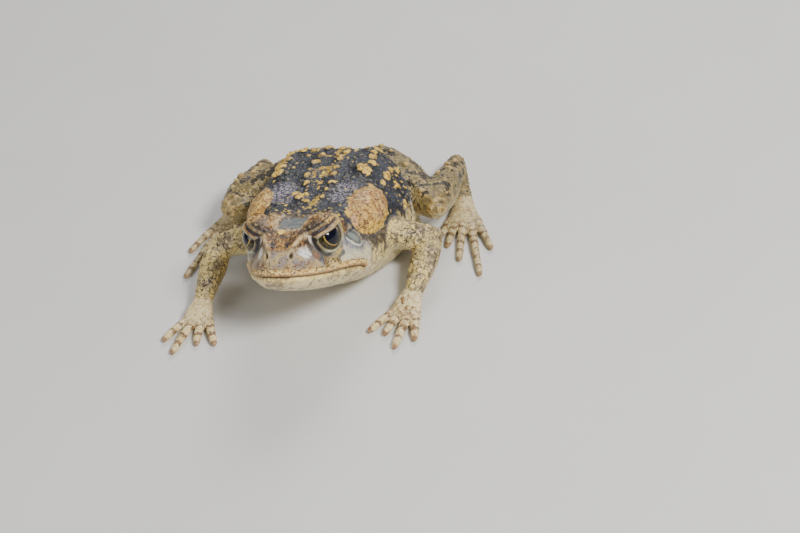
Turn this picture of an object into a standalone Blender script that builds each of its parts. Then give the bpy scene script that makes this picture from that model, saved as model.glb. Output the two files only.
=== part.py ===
"""A life-size still model of a cane toad that sits in its plain crouch, head raised.

Frame: metres, +Z up, the toad faces -Y and its left side is +X. The origin is on the floor,
below the middle of the whole model. Sizes below are in millimetres until a mesh is finished.
"""

import math
import random

import bmesh
import bpy
from mathutils import Matrix, Vector
from mathutils.bvhtree import BVHTree

MM = 0.001
GAP = 0.3                    # clearance between neighbouring pieces
SNOUT_HEIGHT = 52.5          # snout tip above the floor
HEAD_PITCH = 27.0            # degrees, nose up
BACK_PITCH = 15.0
HEAD_END = 46.0              # where the neck cut lies, back from the snout tip
BEND_END = 74.0              # the neck's bend ends here
SIDES = {"left": 1, "right": -1}

SNOUT_RINGS = (0, 0.35, 0.8, 1.5, 2.5, 4)
RUMP_RINGS = (131.5, 135, 137.6, 139.2, 140)
HEAD_RING_STEP = 2.1
TORSO_RING_STEP = 4.6
RING_DETAIL = 3              # points of a ring from one corner of the section to the next

# Trunk profiles: distance back from the snout tip, then the value there.
HALF_WIDTH = ((0, 4.2), (0.8, 6.6), (2.5, 9), (6, 12), (11, 15), (17, 18), (24, 20.8),
              (32, 23.8), (40, 26.2), (47, 27.6), (56, 29), (68, 32), (82, 35.4), (96, 37),
              (110, 34.5), (122, 28.5), (132, 19), (138, 9.5), (140, 2))
WIDE_LEVEL = ((0, -1.6), (6, -2.4), (17, -3.4), (26, -3.8), (34, -4.2), (43, -4.8), (60, -4.8),
              (82, -5), (100, -6), (122, -4), (140, 0))
EDGE_WIDTH = ((0, 2.4), (0.8, 3.8), (2.5, 5), (6, 6.4), (11, 8.2), (17, 9.8), (24, 9.8),
              (32, 11.4), (40, 15), (50, 19), (68, 21.5), (96, 21), (110, 18), (122, 14),
              (132, 9), (138, 4.5), (140, 1))
EDGE_LEVEL = ((0, 3.6), (0.8, 5.8), (2.5, 7.8), (6, 9.9), (11, 11.9), (17, 13.7), (24, 15),
              (32, 15.8), (40, 16.2), (50, 17.2), (68, 20.6), (82, 22.6), (96, 23), (104, 23.2),
              (112, 20.5), (122, 15.5), (132, 8.6), (138, 3.6), (140, 0.8))
CROWN = ((0, 0.4), (3, 0.2), (8, -0.6), (18, -1.3), (32, -1.4), (42, -0.6), (56, 0.6),
         (82, 0.6), (100, 1.6), (115, 1.2), (140, 0.1))
FULLNESS = ((0, 0.7), (5, 0.56), (16, 0.52), (32, 0.6), (44, 0.72), (58, 0.84), (140, 0.86))
LIP_DEPTH = ((0, 0.5), (4, 1.1), (30, 1.1), (41, 0.7), (46, 0), (140, 0))
UNDERSIDE = ((0, -4.2), (0.8, -6.2), (2.5, -7.7), (6, -9.4), (11, -11.2), (17, -12.8), (24, -14.2),
             (32, -15.4), (40, -16.5), (50, -18.4), (68, -22.5), (82, -25.5), (96, -26),
             (110, -23), (122, -17), (132, -9.6), (138, -4), (140, -0.8))

MOUTH_LINE = ((-4, -3.3), (2, -3.8), (8, -4.5), (15, -5.1), (23, -5.5), (30, -6), (37, -7.2),
              (43, -9.4))
MOUTH_CORNER = 43.0          # the mouth ends behind the eardrum's middle
BLOCK_REACH = 60.0           # the jaw's cutting block reaches this far down and to both sides

EYE = {"u": 21.0, "v": 14.1, "w": 9.5, "radius": 6.9, "look_forward": 27.0}
LID = {"u": 22.8, "v": 13.9, "w": 11.0, "long": 10.6, "wide": 8.5, "high": 7.2, "turn": 8.0}
LID_OPENING = {"out": 5.6, "long": 7.1, "deep": 6.0, "high": 5.2, "tilt": 8.0}
NOSTRIL = {"u": 2.6, "v": 4.6, "w": 5.0, "long": 1.5, "wide": 0.75, "deep": 1.4}
EARDRUM = {"u": 36.5, "v": 26, "w": 6.2, "long": 3.7, "high": 4.4, "thick": 1.5}
PAROTOID = {"u": 57.0, "v": 25.6, "w": 13.5, "long": 16.5, "wide": 9.2, "high": 6.2, "turn": 24.0,
            "sunk": 1.6}

# Rows of warts on one side of the back: the angle from straight up, where along the body they
# start and end, their spacing and their radius.
BACK_WARTS = (
    {"angle": 9, "start": 52, "end": 124, "step": 7.2, "radius": 2.5},
    {"angle": 24, "start": 84, "end": 118, "step": 10.0, "radius": 1.8},
    {"angle": 38, "start": 80, "end": 126, "step": 7.6, "radius": 3.1},
    {"angle": 58, "start": 80, "end": 112, "step": 7.0, "radius": 2.6},
    {"angle": 78, "start": 74, "end": 106, "step": 6.6, "radius": 2.0},
)
HEAD_DETAIL = 0.66           # share of the triangles kept once the forms are joined
TORSO_DETAIL = 0.66
WART_SEED = 7
WART_SPREAD = 0.3            # how much a wart's radius varies
WART_HEIGHT = 0.5            # of its radius
WART_TWIST = 25.0            # degrees either way from the body's length
WART_LENGTH = (1.1, 1.45)    # of its width
LIMB_WARTS = {"thigh": (7, 1.8), "shank": (7, 1.9), "forearm": (5, 1.2), "upper_arm": (4, 1.3)}
LID_WARTS = {"number": 7, "radius": 1.0, "rings": (0.3, 0.62)}

CREST_RADIUS = 1.8           # the bony crests of the head
CREST_SUNK = 0.35            # how far a crest's middle lies under the skin, in radii
CREST_ENDS = 0.6             # of the radius in its middle
CRESTS = {
    "canthus": ((3.2, 5.6, 9), (7, 7.6, 11), (11.5, 10, 13), (15, 11.5, 14)),
    "front": ((14.6, 11.5, 14), (15, 14.5, 11.6), (15.8, 17, 8.6)),
    "brow": ((15, 10.8, 14.4), (19, 8.4, 15), (26, 8, 15.8), (32, 9.6, 16.4)),
    "rear": ((31.5, 11, 16.6), (33, 15.6, 15), (33.4, 19.6, 12), (32.6, 22.4, 8.6)),
    "ear": ((33.2, 17.6, 14), (36.2, 19.4, 13.6), (39.2, 20.6, 13)),
}

# Limb joints on one side: out from the middle, back from the snout tip, above the floor.
ARM = {
    "left": {"shoulder": (21, 60, 24), "elbow": (48, 67, 14.5), "wrist": (43, 39, 6.6),
             "knuckle": (40, 28.5, 3.2), "spread": 15.0},
    "right": {"shoulder": (21, 60, 24), "elbow": (50, 63, 15.5), "wrist": (53, 35, 6.6),
              "knuckle": (54, 24.5, 3.2), "spread": 19.0},
}
LEG = {
    "left": {"hip": (15, 118, 16), "knee": (47.5, 83, 20), "heel": (48, 131, 7.4),
             "instep": (55, 107, 4.6), "ball": (56.5, 93, 3.0), "spread": 10.5},
    "right": {"hip": (15, 118, 16), "knee": (48, 85, 20), "heel": (47, 132, 7.4),
              "instep": (54, 108, 4.6), "ball": (55.5, 94, 3.0), "spread": 11.5},
}
UPPER_ARM_RADII = (8.6, 7.6, 6.6, 5.2)
FOREARM_RADII = (4.9, 6.3, 5.5, 4.1)
PALM = {"half_width": (4.2, 5.6, 7.0, 6.2), "half_height": (3.8, 3.4, 2.9, 2.2)}
THIGH_RADII = (11.0, 11.6, 9.6, 6.4)
SHANK_RADII = (6.2, 7.8, 6.0, 4.4)
TARSUS_RADII = (4.5, 4.2, 4.0, 4.0)
FOOT = {"half_width": (4.2, 5.2, 6.6, 7.4), "half_height": (3.6, 3.0, 2.6, 2.0)}
FINGER_LENGTHS = (15.5, 14.5, 21.0, 15.0)
TOE_LENGTHS = (11.0, 18.0, 28.0, 40.0, 23.0)
KNUCKLES = (1.15, 1.0, 0.86, 0.98, 0.74, 0.82, 0.62)    # half widths along a digit, of the root's
# Where the digits leave a hand or foot: how far apart, how far sunk and how high their roots are,
# their half width and arch, and which digit the row and the fan are centred on.
FINGER_ROOTS = {"apart": 3.3, "sunk": 1.5, "height": 2.4, "width": 2.25, "arch": 0.6,
                "row_middle": 1.5, "fan_middle": 1.5}
TOE_ROOTS = {"apart": 2.9, "sunk": 2.0, "height": 2.3, "width": 2.1, "arch": 0.5,
             "row_middle": 2.0, "fan_middle": 2.2}

SKIN_COLOURS = {
    "back": (0.11, 0.10, 0.085, 1),
    "head": (0.33, 0.25, 0.14, 1),
    "gland": (0.42, 0.27, 0.12, 1),
    "limb": (0.40, 0.34, 0.20, 1),
    "digit": (0.50, 0.41, 0.26, 1),
    "throat": (0.46, 0.40, 0.26, 1),
    "eardrum": (0.20, 0.20, 0.17, 1),
    "eye": (0.02, 0.02, 0.05, 1),
}


def clear_scene():
    for old in list(bpy.data.objects):
        bpy.data.objects.remove(old)


def make_material(name, colour, roughness):
    material = bpy.data.materials.new(name)
    material.use_nodes = True
    shader = material.node_tree.nodes["Principled BSDF"]
    shader.inputs["Base Color"].default_value = colour
    shader.inputs["Roughness"].default_value = roughness
    shader.inputs["Metallic"].default_value = 0.0
    return material


def spline(before, start, end, after, t):
    """A point of the Catmull-Rom curve from start to end; numbers and vectors both work."""
    return 0.5 * (
        2 * start
        + (end - before) * t
        + (2 * before - 5 * start + 4 * end - after) * t * t
        + (3 * start - before - 3 * end + after) * t * t * t
    )


def profile(stations, u):
    """The value of a profile at u, on a smooth curve that doesn't overshoot its stations."""
    last = len(stations) - 1
    if u <= stations[0][0]:
        return stations[0][1]
    if u >= stations[last][0]:
        return stations[last][1]
    i = next(k for k in range(last) if stations[k + 1][0] >= u)

    def rise(k):
        return (stations[k + 1][1] - stations[k][1]) / (stations[k + 1][0] - stations[k][0])

    def slope(k):
        if k == 0:
            return rise(0)
        if k == last:
            return rise(last - 1)
        a, b = rise(k - 1), rise(k)
        return 0 if a * b <= 0 else 2 * a * b / (a + b)

    span = stations[i + 1][0] - stations[i][0]
    t = (u - stations[i][0]) / span
    h = 3 * t * t - 2 * t * t * t
    return (
        stations[i][1] * (1 - h)
        + stations[i + 1][1] * h
        + slope(i) * span * t * (1 - t) ** 2
        - slope(i + 1) * span * t * t * (1 - t)
    )


def axis_angle(u):
    """The body's pitch at u, in radians: the head is raised a little more than the back."""
    t = min(max((u - HEAD_END) / (BEND_END - HEAD_END), 0), 1)
    return math.radians(HEAD_PITCH + (BACK_PITCH - HEAD_PITCH) * t * t * (3 - 2 * t))


def axis_point(u):
    """The body axis at u: straight through the head, then summed in short steps."""
    angle = axis_angle(0)
    straight = min(u, HEAD_END)
    back, height = straight * math.cos(angle), SNOUT_HEIGHT - straight * math.sin(angle)
    steps = int(max(u - HEAD_END, 0)) + 1
    length = max(u - HEAD_END, 0) / steps
    for k in range(steps):
        angle = axis_angle(HEAD_END + (k + 0.5) * length)
        back += length * math.cos(angle)
        height -= length * math.sin(angle)
    return Vector((0, back, height))


def body_matrix(u):
    """From (back, out to the left, up) beside the body axis at u to the world."""
    angle = axis_angle(u)
    back = Vector((0, math.cos(angle), -math.sin(angle)))
    up = Vector((0, math.sin(angle), math.cos(angle)))
    matrix = Matrix.Identity(4)
    for column, axis in enumerate((back, Vector((1, 0, 0)), up, axis_point(u))):
        for row in range(3):
            matrix[row][column] = axis[row]
    return matrix


HEAD_MATRIX = body_matrix(0)


def body_point(u, v, w):
    return body_matrix(u) @ Vector((0, v, w))


def section(u, steps):
    """The body's outline at u as one ring: back, flank, lip or widest line, and underside."""
    wide, level = profile(HALF_WIDTH, u), profile(WIDE_LEVEL, u)
    edge, top = profile(EDGE_WIDTH, u), profile(EDGE_LEVEL, u)
    low, crown = profile(UNDERSIDE, u), profile(CROWN, u)
    full, lip = profile(FULLNESS, u), profile(LIP_DEPTH, u)
    half = (
        (edge * 0.5, top + crown * 0.75),
        (edge, top),
        (edge + (wide - edge) * full, level + (top - level) * 0.52),
        (wide - lip, level + (top - level) * 0.25),
        (wide, level),
        (wide * 0.95, level + (low - level) * 0.4),
        (wide * 0.64, level + (low - level) * 0.86),
    )
    corners = [(0, top + crown), *half, (0, low), *((-v, w) for v, w in reversed(half))]
    points = [Vector(corner) for corner in corners]
    count = len(points)
    ring = []
    for k in range(count):
        near = [points[(k + j) % count] for j in (-1, 0, 1, 2)]
        ring += [spline(*near, t / steps) for t in range(steps)]
    matrix = body_matrix(u)
    return [matrix @ Vector((0, v, w)) for v, w in ring]


def loft(rings):
    """A closed mesh through the rings, with a fan at each end."""
    bm = bmesh.new()
    layers = [[bm.verts.new(point) for point in ring] for ring in rings]
    for a, b in zip(layers, layers[1:]):
        for k in range(len(a)):
            j = (k + 1) % len(a)
            bm.faces.new((a[k], a[j], b[j], b[k]))
    for layer in (layers[0], layers[-1]):
        middle = bm.verts.new(sum((vert.co for vert in layer), Vector()) / len(layer))
        for k in range(len(layer)):
            bm.faces.new((layer[k], layer[(k + 1) % len(layer)], middle))
    bmesh.ops.recalc_face_normals(bm, faces=bm.faces)
    bmesh.ops.triangulate(bm, faces=bm.faces)
    return bm


def curve_points(points, count):
    """Count points spread along a smooth curve through the given ones."""
    points = [Vector(point) for point in points]
    ends = [points[0] * 2 - points[1], *points, points[-1] * 2 - points[-2]]
    found = []
    for k in range(count):
        at = k / (count - 1) * (len(points) - 1)
        i = min(int(at), len(points) - 2)
        found.append(spline(*ends[i:i + 4], at - i))
    return found


def blend(values, t):
    """A value between evenly spaced ones, on a smooth curve."""
    at = t * (len(values) - 1)
    i = min(int(at), len(values) - 2)
    near = [values[min(max(i + j, 0), len(values) - 1)] for j in (-1, 0, 1, 2)]
    return spline(*near, at - i)


def tube(points, widths, heights, count=8, around=10, dome=0.9, end_rings=2):
    """A limb: a rounded tube along the points, with its own width and height and domed ends."""
    path = curve_points(points, count)
    rings = []
    for k, centre in enumerate(path):
        along = (path[min(k + 1, count - 1)] - path[max(k - 1, 0)]).normalized()
        side = along.cross(Vector((0, 0, 1)))
        side = side.normalized() if side.length > 0.05 else Vector((1, 0, 0))
        up = side.cross(along)
        t = k / (count - 1)
        width, height = blend(widths, t), blend(heights, t)
        ends = [(0.0, 1.0)]
        if k in (0, count - 1):
            steps = [(j + 1) * math.pi / 2 / (end_rings + 0.4) for j in range(end_rings)]
            sign = -1 if k == 0 else 1
            domed = [(sign * math.sin(a) * dome * min(width, height), math.cos(a)) for a in steps]
            ends = [*reversed(domed), (0.0, 1.0)] if k == 0 else [(0.0, 1.0), *domed]
        for shift, scale in ends:
            rings.append([
                centre + along * shift
                + side * width * scale * math.cos(2 * math.pi * a / around)
                + up * height * scale * math.sin(2 * math.pi * a / around)
                for a in range(around)
            ])
    return loft(rings)


def ball(matrix, segments=16, rows=10):
    """A unit ball carried by the matrix."""
    bm = bmesh.new()
    bmesh.ops.create_uvsphere(bm, u_segments=segments, v_segments=rows, radius=1.0, matrix=matrix)
    bmesh.ops.recalc_face_normals(bm, faces=bm.faces)
    bmesh.ops.triangulate(bm, faces=bm.faces)
    return bm


def stretch(x, y, z):
    return Matrix.Diagonal((x, y, z, 1))


def turn(axis, degrees):
    return Matrix.Rotation(math.radians(degrees), 4, axis)


def facing(point, normal, along=Vector((0, 1, 0))):
    """A frame at a point whose Z is the normal and whose X lies near the given direction."""
    z = normal.normalized()
    x = (along - z * along.dot(z)).normalized()
    y = z.cross(x)
    matrix = Matrix.Identity(4)
    for column, axis in enumerate((x, y, z, point)):
        for row in range(3):
            matrix[row][column] = axis[row]
    return matrix


def to_object(name, bm, helper=False):
    mesh = bpy.data.meshes.new(name)
    bm.to_mesh(mesh)
    bm.free()
    piece = bpy.data.objects.new(name, mesh)
    bpy.context.scene.collection.objects.link(piece)
    if helper:
        piece.hide_render = True
        piece.display_type = "WIRE"
    return piece


def largest_body(bm):
    """Drops every scrap but the closed surface with the most volume."""
    left = set(bm.verts)
    bodies = []
    while left:
        stack = [left.pop()]
        body = set(stack)
        while stack:
            for edge in stack.pop().link_edges:
                for vert in edge.verts:
                    if vert in left:
                        left.discard(vert)
                        body.add(vert)
                        stack.append(vert)
        faces = {face for vert in body for face in vert.link_faces}
        size = 0.0
        for face in faces:
            a, b, c = (vert.co for vert in face.verts[:3])
            size += a.dot(b.cross(c)) / 6
        bodies.append((size, len(bodies), body))
    if not bodies:
        raise ValueError("a cut left nothing")
    keep = max(bodies)[2]
    bmesh.ops.delete(bm, geom=[vert for vert in bm.verts if vert not in keep], context="VERTS")


def apply_boolean(piece, helpers, operation, solver="EXACT"):
    """Joins or cuts with all the helpers at once, applies it, and removes them."""
    group = bpy.data.collections.new("helpers")
    bpy.context.scene.collection.children.link(group)
    group.hide_render = True
    for helper in helpers:
        group.objects.link(helper)
    modifier = piece.modifiers.new("cut", "BOOLEAN")
    modifier.operation = operation
    modifier.operand_type = "COLLECTION"
    modifier.collection = group
    modifier.solver = solver
    bpy.context.view_layer.update()
    evaluated = piece.evaluated_get(bpy.context.evaluated_depsgraph_get())
    bm = bmesh.new()
    bm.from_mesh(evaluated.to_mesh())
    evaluated.to_mesh_clear()
    piece.modifiers.clear()
    bmesh.ops.triangulate(bm, faces=bm.faces)
    bmesh.ops.remove_doubles(bm, verts=bm.verts, dist=1e-4)
    bmesh.ops.dissolve_degenerate(bm, edges=bm.edges, dist=1e-4)
    bmesh.ops.triangulate(bm, faces=bm.faces)
    largest_body(bm)
    bm.to_mesh(piece.data)
    bm.free()
    for helper in helpers:
        bpy.data.objects.remove(helper)
    bpy.data.collections.remove(group)
    return piece


def thin_out(piece, ratio):
    """Collapses edges where the surface is nearly flat, to this share of the triangles."""
    modifier = piece.modifiers.new("thin", "DECIMATE")
    modifier.ratio = ratio
    bpy.context.view_layer.update()
    evaluated = piece.evaluated_get(bpy.context.evaluated_depsgraph_get())
    bm = bmesh.new()
    bm.from_mesh(evaluated.to_mesh())
    evaluated.to_mesh_clear()
    piece.modifiers.clear()
    bmesh.ops.triangulate(bm, faces=bm.faces)
    bm.to_mesh(piece.data)
    bm.free()


def copy_of(piece, name):
    twin = piece.copy()
    twin.data = piece.data.copy()
    twin.name = name
    bpy.context.scene.collection.objects.link(twin)
    return twin


def grown(piece, distance=GAP):
    """A cutter that is the piece with its surface moved out."""
    bm = bmesh.new()
    bm.from_mesh(piece.data)
    bm.normal_update()
    moved = [vert.co + vert.normal * distance for vert in bm.verts]
    for vert, place in zip(bm.verts, moved):
        vert.co = place
    return to_object(piece.name + "_cutter", bm, helper=True)


def press_to_floor(piece):
    """Flattens what would reach below the floor, as flesh is where it bears weight."""
    for vert in piece.data.vertices:
        vert.co.z = max(vert.co.z, 0.0)


def reach(piece):
    corners = [vert.co for vert in piece.data.vertices]
    return [(min(c[k] for c in corners), max(c[k] for c in corners)) for k in range(3)]


def near(a, b):
    return all(x[0] < y[1] and y[0] < x[1] for x, y in zip(reach(a), reach(b)))


def keep_clear(piece, cores):
    """Cuts a piece clear of the grown cores of the neighbours that it reaches into."""
    for core in cores:
        if near(piece, core):
            apply_boolean(piece, [copy_of(core, "cutter")], "DIFFERENCE")
    return piece


class Surface:
    """Finds places on a mesh to set small forms on."""

    def __init__(self, piece):
        bm = bmesh.new()
        bm.from_mesh(piece.data)
        self.tree = BVHTree.FromBMesh(bm)
        bm.free()

    def snap(self, point):
        place, normal, _, _ = self.tree.find_nearest(Vector(point))
        return place, normal


def head_ball(size, side, turned=Matrix.Identity(4), segments=16, rows=10):
    """An ellipsoid at the head's (u, v, w), stretched to its long, wide and high half sizes."""
    place = Matrix.Translation((size["u"], size["v"] * side, size["w"]))
    matrix = HEAD_MATRIX @ place @ turned @ stretch(size["long"], size["wide"], size["high"])
    return ball(matrix, segments, rows)


def rings_between(start, end, spacing):
    count = max(2, round((end - start) / spacing))
    return [start + (end - start) * k / count for k in range(count + 1)]


def ridge(surface, points, radius, name):
    """A low bony crest along the points, laid on the surface and tapered at both ends."""
    path = []
    for point in curve_points(points, 6):
        place, normal = surface.snap(HEAD_MATRIX @ point)
        path.append(place - normal * radius * CREST_SUNK)
    radii = (radius * CREST_ENDS, radius, radius, radius * CREST_ENDS)
    return to_object(name, tube(path, radii, radii, count=6, around=5, end_rings=1), helper=True)


def wart(surface, point, radius, longer=1.0):
    """A low dome whose root is sunk in the surface."""
    place, normal = surface.snap(point)
    frame = facing(place, normal) @ turn("Z", random.uniform(-WART_TWIST, WART_TWIST))
    sizes = stretch(radius * longer, radius, radius * WART_HEIGHT)
    return to_object("wart", ball(frame @ sizes, 6, 4), helper=True)


def join_warts(piece, warts):
    if warts:
        apply_boolean(piece, warts, "UNION")


def make_head():
    """The whole head with lids, crests and nostrils, before the mouth line parts it."""
    stations = (*SNOUT_RINGS, *rings_between(6, HEAD_END, HEAD_RING_STEP))
    head = to_object("head", loft([section(u, RING_DETAIL) for u in stations]))
    surface = Surface(head)
    core = grown(head)
    forms = []
    for side in (1, -1):
        lid = head_ball(LID, side, turn("Z", LID["turn"] * side), 18, 12)
        forms.append(to_object("lid", lid, helper=True))
        for name, points in CRESTS.items():
            points = [(u, v * side, w) for u, v, w in points]
            forms.append(ridge(surface, points, CREST_RADIUS, name))
    apply_boolean(head, forms, "UNION")
    lids = Surface(head)
    join_warts(head, [wart(lids, point, radius) for point, radius in lid_wart_places()])
    thin_out(head, HEAD_DETAIL)
    cuts = []
    for side in (1, -1):
        cuts.append(to_object("opening", lid_opening(side), helper=True))
        cuts.append(to_object("socket", eye_ball(side, GAP), helper=True))
        place, normal = surface.snap(
            HEAD_MATRIX @ Vector((NOSTRIL["u"], NOSTRIL["v"] * side, NOSTRIL["w"]))
        )
        size = stretch(NOSTRIL["long"], NOSTRIL["wide"], NOSTRIL["deep"])
        back_up = HEAD_MATRIX.to_3x3() @ Vector((1, 0, 0.9))
        nostril = ball(facing(place, normal, back_up) @ size, 8, 5)
        cuts.append(to_object("nostril", nostril, helper=True))
    for cut in cuts:
        apply_boolean(head, [cut], "DIFFERENCE")
    return head, core, surface


def lid_wart_places():
    """Spots scattered over the top of each upper lid."""
    number = LID_WARTS["number"]
    for side in (1, -1):
        for k in range(number):
            angle = 2 * math.pi * (k + random.uniform(-0.2, 0.2)) / number
            out = LID_WARTS["rings"][k % 2]
            u = LID["u"] + LID["long"] * out * math.cos(angle)
            v = (LID["v"] + LID["wide"] * out * math.sin(angle)) * side
            place = HEAD_MATRIX @ Vector((u, v, LID["w"] + LID["high"]))
            yield place, LID_WARTS["radius"] * vary()


def vary():
    return random.uniform(1 - WART_SPREAD, 1 + WART_SPREAD)


def back_wart_places():
    """Rows of spots on both sides of the back and flanks, a little irregular."""
    for side in (1, -1):
        for row in BACK_WARTS:
            u = row["start"] + random.uniform(0, 2)
            while u < row["end"]:
                angle = math.radians(row["angle"] + random.uniform(-2.5, 2.5)) * side
                out = profile(HALF_WIDTH, u)
                point = body_point(u, out * math.sin(angle), out * math.cos(angle))
                yield point, row["radius"] * vary()
                u += row["step"] * random.uniform(0.85, 1.15)


def clear_of(place, radius, cores):
    """True where a wart at the place is outside every one of the grown cores and off them."""
    for core in cores:
        spot, normal, _, distance = core.find_nearest(place)
        if distance < radius + 2 * GAP or (place - spot).dot(normal) < 0:
            return False
    return True


def torso_warts(surface, others):
    for point, radius in back_wart_places():
        place = surface.snap(point)[0]
        if clear_of(place, radius * WART_LENGTH[1], others):
            yield wart(surface, place, radius, random.uniform(*WART_LENGTH))


def limb_warts(piece, others):
    """Warts on the upper side of a limb's length."""
    kind = piece.name.rsplit("_", 1)[0]
    number, radius = LIMB_WARTS[kind]
    surface = Surface(piece)
    spans = reach(piece)
    for k in range(number):
        t = (k + 0.8) / (number + 0.6)
        x = spans[0][0] + (spans[0][1] - spans[0][0]) * random.uniform(0.2, 0.8)
        y = spans[1][0] + (spans[1][1] - spans[1][0]) * t
        place, normal = surface.snap((x, y, spans[2][1] + 4))
        size = radius * vary()
        if clear_of(place, size, others):
            yield wart(surface, place, size)


def eye_frame(side):
    """At the eyeball's middle, Y along the line of sight on the left, against it on the right."""
    place = Matrix.Translation((EYE["u"], EYE["v"] * side, EYE["w"]))
    return HEAD_MATRIX @ place @ turn("Z", EYE["look_forward"] * side)


def lid_opening(side):
    """The almond between the lids, in front of the eyeball."""
    shift = Matrix.Translation((0, LID_OPENING["out"] * side, 0))
    size = stretch(LID_OPENING["long"], LID_OPENING["deep"], LID_OPENING["high"])
    return ball(eye_frame(side) @ shift @ turn("X", LID_OPENING["tilt"] * side) @ size, 16, 10)


def eye_ball(side, extra=0.0):
    """The eyeball, its poles along the line of sight."""
    radius = EYE["radius"] + extra
    return ball(eye_frame(side) @ turn("X", 90) @ stretch(radius, radius, radius), 16, 11)


def jaw_block(shift, name):
    """The space of the lower jaw: below the mouth line and in front of the throat cut."""
    outline = [(u + shift, w + shift) for u, w in MOUTH_LINE]
    outline += [(MOUTH_CORNER + shift, -BLOCK_REACH), (MOUTH_LINE[0][0], -BLOCK_REACH)]
    bm = bmesh.new()
    ends = [
        [bm.verts.new(HEAD_MATRIX @ Vector((u, v, w))) for u, w in outline]
        for v in (-BLOCK_REACH, BLOCK_REACH)
    ]
    bm.faces.new(ends[0])
    bm.faces.new(list(reversed(ends[1])))
    for k in range(len(outline)):
        j = (k + 1) % len(outline)
        bm.faces.new((ends[0][k], ends[1][k], ends[1][j], ends[0][j]))
    bmesh.ops.recalc_face_normals(bm, faces=bm.faces)
    bmesh.ops.triangulate(bm, faces=bm.faces)
    return to_object(name, bm, helper=True)


def part_jaw(head):
    jaw = copy_of(head, "lower_jaw")
    apply_boolean(jaw, [jaw_block(0, "jaw_space")], "INTERSECT")
    apply_boolean(head, [jaw_block(GAP, "mouth_cut")], "DIFFERENCE")
    return jaw


def make_torso():
    stations = (*rings_between(HEAD_END + GAP, 128, TORSO_RING_STEP), *RUMP_RINGS)
    return to_object("torso", loft([section(u, RING_DETAIL) for u in stations]))


def make_parotoid(name, side, trunk):
    place, normal = trunk.snap(body_point(PAROTOID["u"], PAROTOID["v"] * side, PAROTOID["w"]))
    along = Vector((math.sin(math.radians(PAROTOID["turn"])) * side, 1, 0))
    sizes = stretch(PAROTOID["long"], PAROTOID["wide"], PAROTOID["high"])
    frame = facing(place - normal * PAROTOID["sunk"], normal, along)
    return to_object(name, ball(frame @ sizes, 18, 11))


def make_eardrum(name, side, surface):
    spot = HEAD_MATRIX @ Vector((EARDRUM["u"], EARDRUM["v"] * side, EARDRUM["w"]))
    place, normal = surface.snap(spot)
    sizes = stretch(EARDRUM["long"], EARDRUM["high"], EARDRUM["thick"])
    return to_object(name, ball(facing(place, normal) @ sizes, 12, 6))


def sided(point, side):
    return Vector((point[0] * side, point[1], point[2]))


def limb_piece(name, points, widths, heights=None, **options):
    return to_object(name, tube(points, widths, heights or widths, **options))


def make_digit(name, root, direction, length, width, arch):
    """A finger or toe that arches a little, with knuckles and a rounded tip, flat on the floor."""
    tip = root + direction * length
    tip.z = width * 0.72
    middle = root.lerp(tip, 0.5)
    middle.z += arch
    widths = [width * k for k in KNUCKLES]
    heights = [width * k * 0.86 for k in KNUCKLES]
    count = 6 if length < 20 else 8
    return limb_piece(name, (root, middle, tip), widths, heights, count=count, around=6)


def make_digits(name, bones, lengths, roots, spread):
    """A fan of digits from the end of a hand or foot, the first one on the inside."""
    start, end = bones
    along = Vector((end.x - start.x, end.y - start.y, 0)).normalized()
    outward = Vector((-along.y, along.x, 0))
    if outward.x * spread < 0:
        outward = -outward
    digits = []
    for k, length in enumerate(lengths):
        root = end - along * roots["sunk"]
        root += outward * (k - roots["row_middle"]) * roots["apart"]
        root.z = roots["height"]
        fan = turn("Z", spread * (k - roots["fan_middle"]))
        digits.append(make_digit(name.format(k + 1), root, fan.to_3x3() @ along, length,
                                 roots["width"], roots["arch"]))
    return digits


def make_arm(side_name, sign):
    joints = {k: sided(v, sign) for k, v in ARM[side_name].items() if k != "spread"}
    upper = limb_piece("upper_arm_" + side_name, (joints["shoulder"], joints["elbow"]),
                       UPPER_ARM_RADII)
    fore = limb_piece("forearm_" + side_name, (joints["elbow"], joints["wrist"]), FOREARM_RADII)
    hand = limb_piece("hand_" + side_name, (joints["wrist"], joints["knuckle"]),
                      PALM["half_width"], PALM["half_height"], count=6)
    fingers = make_digits("finger_{}_" + side_name, (joints["wrist"], joints["knuckle"]),
                          FINGER_LENGTHS, FINGER_ROOTS, ARM[side_name]["spread"] * sign)
    return upper, fore, hand, fingers


def make_leg(side_name, sign):
    joints = {k: sided(v, sign) for k, v in LEG[side_name].items() if k != "spread"}
    thigh = limb_piece("thigh_" + side_name, (joints["hip"], joints["knee"]), THIGH_RADII)
    shank = limb_piece("shank_" + side_name, (joints["knee"], joints["heel"]), SHANK_RADII)
    tarsus = limb_piece("tarsus_" + side_name, (joints["heel"], joints["instep"]), TARSUS_RADII)
    foot = limb_piece("foot_" + side_name, (joints["instep"], joints["ball"]),
                      FOOT["half_width"], FOOT["half_height"], count=6)
    toes = make_digits("toe_{}_" + side_name, (joints["instep"], joints["ball"]),
                       TOE_LENGTHS, TOE_ROOTS, LEG[side_name]["spread"] * sign)
    return thigh, shank, tarsus, foot, toes


def centre_on_floor(pieces):
    """Puts the origin below the middle of the whole model and turns millimetres into metres."""
    spans = [reach(piece) for piece in pieces]
    x = (min(s[0][0] for s in spans) + max(s[0][1] for s in spans)) / 2
    y = (min(s[1][0] for s in spans) + max(s[1][1] for s in spans)) / 2
    low = min(s[2][0] for s in spans)
    matrix = Matrix.Scale(MM, 4) @ Matrix.Translation((-x, -y, -low))
    for piece in pieces:
        piece.data.transform(matrix)


def finish(piece, material):
    piece.data.materials.clear()
    piece.data.materials.append(material)
    piece.data.shade_smooth()
    piece.data.set_sharp_from_angle(angle=math.radians(50))


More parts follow.
